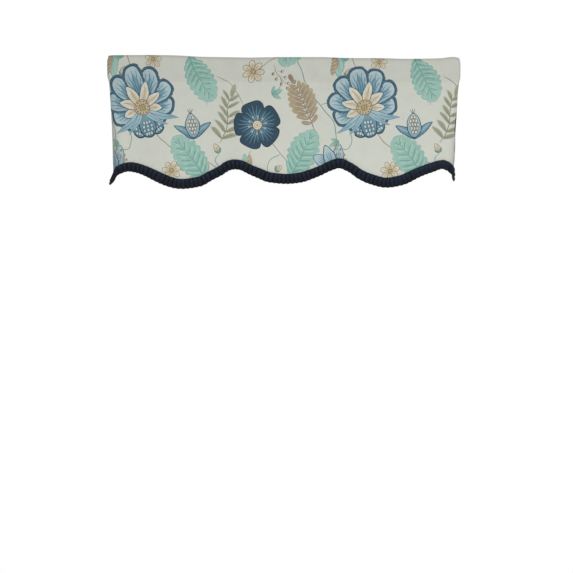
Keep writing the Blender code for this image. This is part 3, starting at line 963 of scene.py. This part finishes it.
def printedCotton():
    shader = Shader("printedCotton")
    threads = math.pi / cottonLook["thread"]
    printed = shader.node("ShaderNodeAttribute", {"attribute_name": "printInk"}, output=0)
    flat = shader.node("ShaderNodeUVMap", {"uv_map": "OFBake"})
    place = shader.node("ShaderNodeVectorMath", {"operation": "MULTIPLY"},
                        [flat, (cloth["mapWidth"], cloth["mapHeight"] * 2, 1)])
    split = shader.node("ShaderNodeSeparateXYZ", sockets=[place])
    down = Wire(shader, split.socket.node.outputs[1])
    weave = (split * threads).math("SINE") * (down * threads).math("SINE")

    warpSlub = shader.noise(place, 1, 2, (900, 28, 1))
    weftSlub = shader.noise(place, 1, 2, (24, 900, 1))
    cloudy = shader.noise(place, 26, 3)
    fleck = shader.noise(place, 2400, 1)
    spare = cloth["mapHeight"] - cloth["turnedDepth"] - cloth["mapMargin"]
    height = down.math("MODULO", cloth["mapHeight"]) * (1 / cloth["mapHeight"])
    # painted light and shade down the drop, from the table above
    paintedLight = shader.node("ShaderNodeValToRGB", {"stops": [
        ((up + spare) / cloth["mapHeight"], level) for up, level in paintedCottonLight]}, [height])
    inked = Wire(shader, printed.socket.node.outputs["Alpha"])
    wash = inked * ((shader.noise(place, 75, 4) - 0.5) * cottonLook["wash"]
                    + (shader.noise(place, 310, 2) - 0.5) * cottonLook["fineWash"])
    # the cloth's own slub, cloud, weave and ink wash, with the painted light and shade of the drop
    toneAndShade = (paintedLight + (warpSlub - 0.5) * cottonLook["slub"] + (weftSlub - 0.5) * cottonLook["slub"]
            + (cloudy - 0.5) * cottonLook["cloud"] + weave * cottonLook["weave"] + wash)
    worn = shader.mix(((fleck - 0.56) * 5).math("MAXIMUM", 0).math("MINIMUM", 1) * cottonLook["worn"],
                      printed, (*inks["ground"], 1))
    colour = shader.node("ShaderNodeVectorMath", {"operation": "SCALE"}, {0: worn, 3: toneAndShade})
    relief = weave * 0.35 + (warpSlub + weftSlub) * 0.5
    bump = shader.node("ShaderNodeBump", {}, {"Strength": 0.55, "Distance": 0.00022, "Height": relief})
    return shader.finish(Base_Color=colour, Roughness=0.80 + (fleck - 0.5) * 0.12, Normal=bump,
                         Specular_IOR_Level=0.28, Sheen_Weight=0.10, Sheen_Roughness=0.5)


def bandCloth():
    shader = Shader("bandCloth")
    place = shader.node("ShaderNodeTexCoord", output=3)

    fibre = shader.noise(place, 1, 3, (1500, 900, 260))
    cross = shader.noise(place, 1, 2, (260, 900, 1500))
    patchy = shader.noise(place, 70, 3)
    # the groove attribute holds painted shade: darker in the grooves between ribs, along the crease and on
    # the band's lower half
    groove = shader.node("ShaderNodeAttribute", {"attribute_name": "groove"}, output=2)
    toneAndShade = (1.0 + (fibre - 0.5) * 0.9 + (patchy - 0.5) * 0.8) * (1 - groove * 0.85)
    base = ink(29, 40, 58)
    colour = shader.node("ShaderNodeVectorMath", {"operation": "SCALE"}, {0: base, 3: toneAndShade})
    height = fibre * 0.6 + cross * 0.5 + shader.noise(place, 420, 2) * 0.6
    bump = shader.node("ShaderNodeBump", {}, {"Strength": 0.6, "Distance": 0.0004, "Height": height})
    return shader.finish(Base_Color=colour, Roughness=0.78 + (fibre - 0.5) * 0.2, Normal=bump,
                         Specular_IOR_Level=0.22, Sheen_Weight=0.04, Sheen_Roughness=0.45)


def stitchThread():
    shader = Shader("stitchThread")
    place = shader.node("ShaderNodeTexCoord", output=3)
    twist = shader.node("ShaderNodeTexNoise", {}, {"Vector": place, "Scale": 1800, "Detail": 2})
    colour = shader.mix(twist, (*ink(196, 196, 184), 1), (*ink(224, 224, 212), 1))
    bump = shader.node("ShaderNodeBump", {}, {"Strength": 0.4, "Distance": 0.0001, "Height": twist})
    return shader.finish(Base_Color=colour, Roughness=0.7 + (twist - 0.5) * 0.2, Normal=bump)


studio = {
    "cameraAt": (0.0095, -3.2, -0.707), "viewWidth": 1.765, "sensor": 36,
    "floorLevel": -2.1, "floorWidth": 18, "floorDepth": 14, "floorBack": 1.5, "worldLight": 0.40,
    "lamps": table("name at aim wide high watts",
                   ("keyLight", (0.9, -4.0, 0.5), (0, 0, -0.2), 2.4, 2.4, 84),
                   ("lowLight", (-0.3, -2.6, -1.4), (0, 0, -0.3), 1.6, 0.8, 2.0),
                   ("backLight", (-0.8, 3.0, 2.8), (0, 0, -0.3), 2.0, 2.0, 60)),
}


def makeStage():
    bm = bmesh.new()
    bmesh.ops.create_grid(bm, x_segments=4, y_segments=4, size=0.5)
    bmesh.ops.scale(bm, vec=(studio["floorWidth"], studio["floorDepth"], 1), verts=bm.verts)
    bmesh.ops.translate(bm, vec=(0, studio["floorBack"] - studio["floorDepth"] / 2, studio["floorLevel"]),
                        verts=bm.verts)
    mesh = meshFrom(bm, "floor")
    floor = placed("floor", mesh)
    shader = Shader("floorPaint")
    place = shader.node("ShaderNodeTexCoord", output=3)
    mottle = shader.node("ShaderNodeTexNoise", {}, {"Vector": place, "Scale": 3})
    mesh.materials.append(shader.finish(
        Base_Color=shader.mix(mottle, (0.84, 0.84, 0.83, 1), (0.87, 0.87, 0.86, 1)), Roughness=0.8))
    print("stage made: floor at", studio["floorLevel"], "m")


def makeLights():
    for row in studio["lamps"]:
        lamp = bpy.data.lights.new(row["name"], "AREA")
        lamp.shape = "RECTANGLE"
        lamp.size, lamp.size_y, lamp.energy = row["wide"], row["high"], row["watts"]
        light = placed(row["name"], lamp)
        light.location = row["at"]
        aim = Vector(row["aim"]) - Vector(row["at"])
        light.rotation_euler = aim.to_track_quat("-Z", "Y").to_euler()
    world = bpy.data.worlds.new("studio")
    bpy.context.scene.world = world
    world.use_nodes = True
    nodes, links = world.node_tree.nodes, world.node_tree.links
    seen = nodes.new("ShaderNodeBackground")
    seen.inputs["Color"].default_value = (1, 1, 1, 1)
    lit = nodes["Background"]
    lit.inputs["Color"].default_value = (1, 1, 1, 1)
    lit.inputs["Strength"].default_value = studio["worldLight"]
    mix = nodes.new("ShaderNodeMixShader")
    rays = nodes.new("ShaderNodeLightPath")
    links.new(rays.outputs["Is Camera Ray"], mix.inputs[0])
    links.new(lit.outputs[0], mix.inputs[1])
    links.new(seen.outputs[0], mix.inputs[2])
    links.new(mix.outputs[0], nodes["World Output"].inputs[0])
    print("lights made:", len(studio["lamps"]))


def makeCamera():
    lens = bpy.data.cameras.new("camera")
    lens.sensor_width = studio["sensor"]
    lens.lens = studio["sensor"] * abs(studio["cameraAt"][1]) / studio["viewWidth"]
    camera = placed("camera", lens)
    camera.location = studio["cameraAt"]
    camera.rotation_euler = (math.pi / 2, 0, 0)
    bpy.context.scene.camera = camera
    print("camera made: lens", round(lens.lens, 1), "mm")


panel = makePanel()
hemBand = makeBand()
stitches = makeStitches()
makeStage()
makeLights()
makeCamera()
bpy.context.scene.view_settings.view_transform = "Standard"
